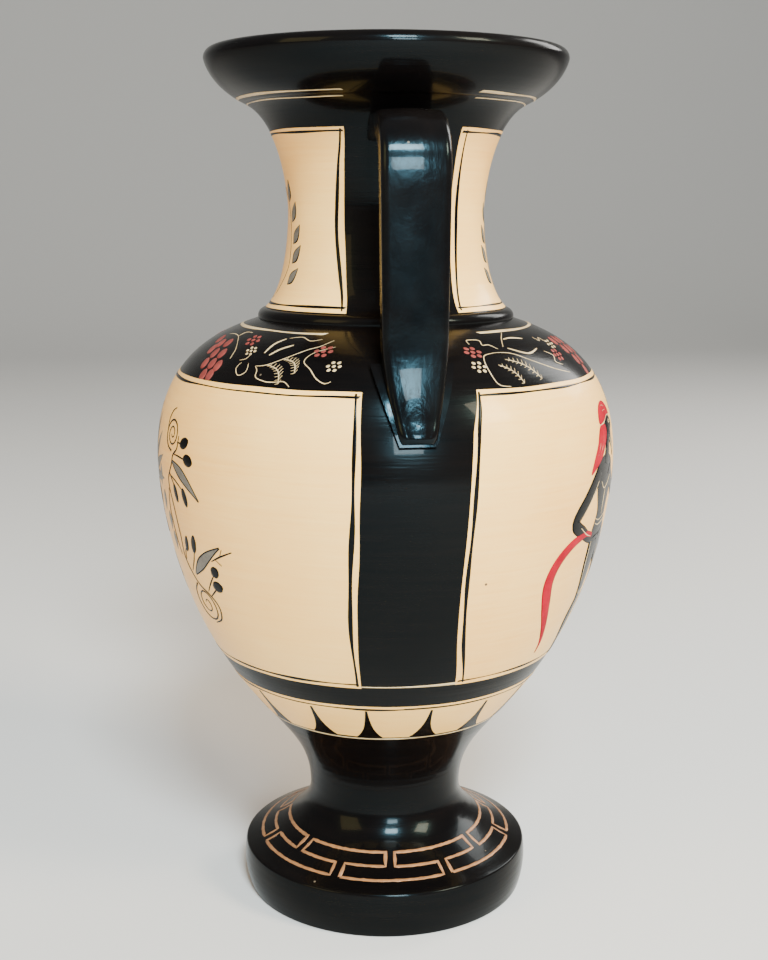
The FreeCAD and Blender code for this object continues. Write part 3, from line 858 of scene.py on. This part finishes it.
vineLines = [
    thin(fine, (-27, 7), (-32, 11), (-38, 12), (-43, 11)), thin(fine, (-27, 7), (-24, 3), (-23, -2)),
    thin(fine, (-32, 11), (-30, 14.5), (-25, 15))]
rightLines = [
    thin(fine, (-14, 10), (-13, 13), (-8, 12.5), (-9, 9), (-6, 9), (-4, 6)),
    thin(fine, (-7, 4), (-12, 3), (-14, 1), (-15.5, -4), (-15, -11), (-10, -12.5)),
    thin(fine, (-7, 4), (0, 3), (8, -2), (18, -7), (28, -10)),
    thin(0.5, (4, 12), (9, 12.5), (15, 11)), thin(0.5, (1, 6), (9, 2), (17, 4)),
    thin(fine, (8, 17), (3, 12), (-0.5, 7)), thin(fine, (23, 11), (25, 8), (27, 10), (29, 7)),
    thin(fine, (20, 2), (24, -1), (22, -4), (26, -6))]
rightLines += feather(-5, 0, 7, -10.5, 2.0, 9, 1.9) + feather(-10, -2.5, -3, -11.5, 1.6, 7, 1.7)
rightDots = dots(-18.5, -3, 2.3, 0.75) + dots(31, 5, 2.2, 0.7)
rightRed = dots(-16, 5, 2.6, 1.0) + dots(28, -1, 2.6, 1.0)
rightGrapes = [drop(x, y, 105, 5.4, 2.2) for x, y in (
    (38, 6), (44, 6), (50, 5), (41, 0.5), (47, 0), (53, -1), (44, -5.5), (50, -6), (47, -11))]
shoulder = {"base": 231.4, "left": 140.0, "right": 213.0}
for label, side, flip, group in (
        ("TendrilNear", shoulder["left"], 1, "left"), ("TendrilFar", 180.0 - shoulder["left"], -1, "left"),
        ("FigureNear", shoulder["right"], 1, "right"),
        ("FigureFar", 540.0 - shoulder["right"], -1, "right")):
    lines, spots, reds, berries = ((leftLines + vineLines, leftDots, leftRed, grapes) if group == "left"
                                   else (rightLines, rightDots, rightRed, rightGrapes))
    paintStrokes("vine" + label, mirrored(lines + spots, flip), side, shoulder["base"],
                 *creamThin)
    paintStrokes("flowers" + label, mirrored(reds + berries, flip), side, shoulder["base"],
                 *dull)
print("shoulder painted")


# figures on the belly: a satyr by the near handle and a dancer facing them, both in profile

def person(name, at, parts):
    # parts: (kind, material, lift above the panel, strokes or outlines)
    for index, (kind, material, slot, above, shapes) in enumerate(parts):
        paint = paintStrokes if kind == "strokes" else paintShapes
        paint(name + str(index + 1), shapes, at, tendril["base"], material, slot, onPanel + above)


def limb(*spots):
    return list(spots), False


satyrLimbs = [
    limb((5, 19, 3.2), (13, 12, 3.1), (20, 8, 2.6), (26, 14, 2.3), (30, 22, 1.9)),
    limb((4, -7, 5.6), (11, -17, 5.6), (18, -27, 4.2), (20, -33, 3.8), (18, -42, 4.0), (17, -52, 2.3),
         (18, -57, 1.9)),
    limb((16, -58, 1.9), (22, -60, 1.8), (28, -62, 0.9)),
    limb((-2, -7, 6.0), (-1, -18, 6.0), (1, -29, 4.4), (2, -35, 4.1), (0, -44, 4.3), (1, -54, 2.4),
         (2, -59, 2.0)),
    limb((0, -60, 2.0), (6, -61.5, 1.9), (12, -63, 0.9)),
    limb((-7, 20, 3.4), (-16, 11, 3.4), (-24, 2, 2.9), (-16, -3.5, 2.4), (-9, -7, 2.0), (-5, -7.5, 1.8)),
    limb((5, 33, 3.0), (3, 27, 3.2), (1, 21, 4.2)),
    limb((8, 31.5, 2.4), (11.5, 27.5, 2.0), (12.5, 23, 0.6)),
    limb((6.5, 42, 2.6), (7.5, 37, 5.4), (9, 33, 4.0), (9.5, 30.5, 1.8)),
    limb((12.4, 37.6, 0.9), (14.2, 35.6, 0.8), (12.2, 34.2, 0.8)), drop(3.2, 37, 70, 4.6, 1.2)]
satyrBody = [[(-9.5, 22), (-3, 25), (4, 25), (9.5, 21), (9.5, 12), (6.5, 3), (7.5, -5), (6, -12),
              (-5, -12.5), (-7.5, -5), (-5.5, 3), (-8.5, 12)]]
satyrHair = [[(-4, 37.4), (-3, 42), (1, 45), (6, 45.6), (11, 43), (13, 39.6), (9, 39.8), (4, 38.4)],
             [(-4.6, 36.2), (1.5, 36.8), (3.4, 34), (0.5, 30), (-4, 25.5), (-10, 22), (-16, 19.5),
              (-13, 25), (-9, 30)]]
satyrTail = [limb((-7, -6, 1.1), (-14, -4.5, 1.5), (-24, -7, 2.2), (-31, -13, 2.7), (-33, -21, 2.8),
                  (-29.5, -31, 2.4), (-24, -42, 1.5), (-20.5, -50, 0.8), (-20, -55, 0.25))]
cut = 0.24
satyrCuts = [
    thin(cut, (-6, 0.5), (-1, -0.8), (6.5, 0.6)), thin(cut, (-6, -1.4), (-1, -2.8), (6.8, -1.6)),
    thin(cut, (-4.5, 15), (-1, 12), (3.5, 13), (7.5, 16)), thin(cut, (1.2, 12), (0.6, 6), (1, 1)),
    thin(cut, (-8, 16), (-13, 10), (-19, 4)), thin(cut, (-19, -1), (-13, -4.6), (-8, -6.2)),
    thin(cut, (-5.5, -9), (-5, -18), (-2.6, -27)), thin(cut, (-1.8, -31), (1.5, -33.4), (5, -31)),
    thin(cut, (1.6, -38), (2.8, -45), (2, -52)), thin(cut, (7, -13), (12.5, -21), (16.5, -27)),
    thin(cut, (16.5, -31), (20, -33), (22.6, -30.6)), thin(cut, (19.6, -38), (19.8, -45), (18, -52)),
    thin(cut, (9, 36.8), (10.4, 37.5), (11.6, 36.9)), thin(cut, (9.2, 36.6), (10.4, 36.2), (11.6, 36.8)),
    thin(cut, (9, 31), (10.8, 28), (12, 25)), thin(cut, (7.4, 30.6), (9.4, 27.8), (11.4, 24.6)),
    thin(cut, (-4.4, 37), (1, 37.2), (7, 39.4), (12.6, 39.2)),
    thin(cut * 0.8, (-3, 35), (-7, 29), (-12, 23)), thin(cut * 0.8, (0, 35), (-4, 28.6), (-10, 23.4)),
    thin(cut * 0.8, (-1, 43), (4, 44), (9, 42)), thin(cut * 0.8, (0, 41), (5, 42), (10, 41))]
staff = [thin(0.7, (22, -40), (28, 0), (31, 24), (34, 44)), leaf(33.4, 42, 82, 9, 3.0),
         leaf(34.5, 43, 30, 6, 1.1), leaf(33.5, 43, 140, 6, 1.1)]
person("satyr", 240.0, (
    ("strokes", *black, 0.02, satyrLimbs + staff),
    ("outlines", *black, 0.0, satyrBody),
    ("outlines", *red, 0.08, satyrHair),
    ("strokes", *red, 0.05, satyrTail),
    ("strokes", *creamThin, 0.13, satyrCuts)))

dancerLimbs = [
    limb((-5, 19, 2.4), (-13, 22, 2.3), (-19, 27, 1.9), (-20, 35, 1.5), (-19, 39, 1.3)),
    limb((6, 19, 2.5), (14, 17, 2.3), (21, 11, 1.9), (27, 13, 1.5), (30, 17, 1.3)),
    limb((0, 31, 2.2), (0, 26, 2.4), (0, 22, 3.4)),
    limb((0.5, 42, 3.0), (-1, 38, 4.6), (-2, 34, 3.4), (-3, 32, 1.4)),
    limb((-5.4, 38.2, 0.7), (-7, 36.2, 0.7), (-5.4, 35.2, 0.7)),
    limb((6, 41, 2.0), (9, 39, 2.6), (10, 36, 1.2)),
    limb((-9, -58, 1.8), (-13, -61, 1.7), (-19, -62.5, 0.8)),
    limb((9, -58, 1.8), (5, -61, 1.7), (-1, -62.5, 0.8))]
dancerDress = [[(-6.5, 21.5), (0, 24), (7, 21.5), (7.5, 12), (5.5, 3), (9, -10), (14, -28), (20, -52),
                (8, -57), (-4, -58), (-14, -55), (-11, -36), (-8, -14), (-5.5, 3), (-7.5, 12)]]
dancerRed = [limb((-12.4, -50, 1.6), (-3, -53, 1.7), (8, -52.6, 1.7), (17.8, -48, 1.5)),
             limb((-5.4, 3, 1.3), (0, 2, 1.4), (5.4, 3, 1.3)),
             limb((2, 43.4, 1.2), (5, 40, 1.3), (5.6, 36, 0.9))]
dancerCuts = [thin(cut, (x * 0.4, 0), (x * 0.8, -20), (x * 1.15, -48)) for x in (-8, -4, 0, 4, 8, 12)]
dancerCuts += [thin(cut, (-5, 18), (0, 15.5), (5, 18)), thin(cut, (-4.6, 37.4), (-3.4, 37.9), (-2.4, 37.3)),
               thin(cut, (-5, 8), (0, 6.6), (5, 8))]
dancerCuts += [cutDot for k in range(5) for cutDot in dots(-9 + 6 * k, -38 - (k % 2) * 3, 1.5, 0.3, 5)]
ivy = [thin(0.4, (-26, 40), (-14, 50), (0, 47), (14, 52), (28, 45), (40, 50))]
ivy += [leaf(x, y, angle, 6.5, 2.1) for x, y, angle in (
    (-20, 45, 60), (-12, 50, 300), (-4, 48, 80), (4, 48, 290), (12, 51, 100), (20, 49, 280), (28, 45, 70),
    (34, 47, 300))]
person("dancer", 298.0, (
    ("strokes", *black, 0.02, dancerLimbs),
    ("outlines", *black, 0.0, dancerDress),
    ("strokes", *red, 0.07, dancerRed),
    ("strokes", *creamThin, 0.13, dancerCuts)))
paintStrokes("ivy", ivy, 272.0, tendril["base"], *black, onPanel)
print("figures painted")


# pieces kept from the frame get their finish

for name, node in nodes.items():
    if name in sections:
        continue
    material = jointSlip if name.startswith("slip_") else handleGlaze
    if node.data.materials:
        for index in range(len(node.data.materials)):
            node.material_slots[index].link = "OBJECT"
            node.material_slots[index].material = material
    else:
        node.data.materials.append(material)


# floor, light and camera

backdrop = {"near": -3.0, "bend": 2.2, "radius": 1.6, "steps": 16, "top": 4.0, "half": 4.5,
            "color": (0.58, 0.57, 0.555, 1), "rough": 0.85}
bm = bmesh.new()
profile = [(backdrop["near"], 0.0), (backdrop["bend"], 0.0)]
for step in range(1, backdrop["steps"] + 1):
    turnAngle = pi / 2 * step / backdrop["steps"]
    profile.append((backdrop["bend"] + backdrop["radius"] * sin(turnAngle),
                    backdrop["radius"] * (1 - cos(turnAngle))))
profile.append((backdrop["bend"] + backdrop["radius"], backdrop["top"]))
rim = [bm.verts.new((x, -backdrop["half"], z)) for x, z in profile]
edges = [bm.edges.new(pair) for pair in zip(rim, rim[1:])]
swept = bmesh.ops.extrude_edge_only(bm, edges=edges)
bmesh.ops.translate(bm, vec=(0, 2 * backdrop["half"], 0),
                    verts=[v for v in swept["geom"] if isinstance(v, bmesh.types.BMVert)])
bmesh.ops.recalc_face_normals(bm, faces=bm.faces[:])
floorMesh = bpy.data.meshes.new("floor")
bm.to_mesh(floorMesh)
bm.free()
floorMesh.shade_smooth()
floor = bpy.data.objects.new("floor", floorMesh)
bpy.context.scene.collection.objects.link(floor)
floorMaterial = bpy.data.materials.new("floorPaint")
floorMaterial.use_nodes = True
floorShader = floorMaterial.node_tree.nodes["Principled BSDF"]
floorShader.inputs["Base Color"].default_value = backdrop["color"]
floorShader.inputs["Roughness"].default_value = backdrop["rough"]
floor.data.materials.append(floorMaterial)

world = bpy.data.worlds.new("studio")
bpy.context.scene.world = world
world.use_nodes = True
sky = world.node_tree.nodes["Background"]
sky.inputs["Color"].default_value = (0.90, 0.90, 0.92, 1)
sky.inputs["Strength"].default_value = 0.30


def addLight(name, azimuth, distance, height, size, power, colour, aim=0.2):
    lamp = bpy.data.lights.new(name, "AREA")
    lamp.shape, lamp.size, lamp.size_y = "RECTANGLE", size[0], size[1]
    lamp.energy, lamp.color = power, colour
    thing = bpy.data.objects.new(name, lamp)
    spot = Vector((distance * cos(radians(azimuth)), distance * sin(radians(azimuth)), height))
    thing.location = spot
    thing.rotation_euler = (Vector((0, 0, aim)) - spot).to_track_quat("-Z", "Y").to_euler()
    bpy.context.scene.collection.objects.link(thing)


addLight("window", 184.0, 1.35, 1.45, (0.46, 0.36), 74.0, (0.80, 0.94, 1.0))
addLight("lowWindow", 184.0, 2.0, 0.80, (0.50, 0.46), 50.0, (0.78, 0.93, 1.0))
addLight("key", 232.0, 1.5, 1.25, (0.5, 0.6), 44.0, (1.0, 0.84, 0.60))
addLight("fill", 120.0, 1.9, 1.1, (1.0, 1.2), 21.0, (1.0, 0.62, 0.22))
addLight("rim", 300.0, 1.6, 1.1, (0.6, 0.9), 22.0, (1.0, 0.95, 0.90))

shot = {"azimuth": cameraAzimuth, "distance": 0.5761, "height": 0.2865, "pitch": 11.0, "lens": 52.85,
        "yaw": 0.057, "roll": 0.11}
camera = bpy.data.objects.new("camera", bpy.data.cameras.new("camera"))
camera.data.lens, camera.data.sensor_width = shot["lens"], 36.0
camera.data.clip_start = 0.01
azimuth = radians(shot["azimuth"])
place = Matrix.Translation((shot["distance"] * cos(azimuth), shot["distance"] * sin(azimuth),
                            shot["height"]))
# a camera looks along its own -Z, with +Y up
facing = Matrix.Rotation(azimuth + pi / 2 + radians(shot["yaw"]), 4, "Z")
tilt = Matrix.Rotation(radians(90.0 - shot["pitch"]), 4, "X")
camera.matrix_world = place @ facing @ tilt @ Matrix.Rotation(radians(shot["roll"]), 4, "Z")
bpy.context.scene.collection.objects.link(camera)
bpy.context.scene.camera = camera
print("camera and light placed")
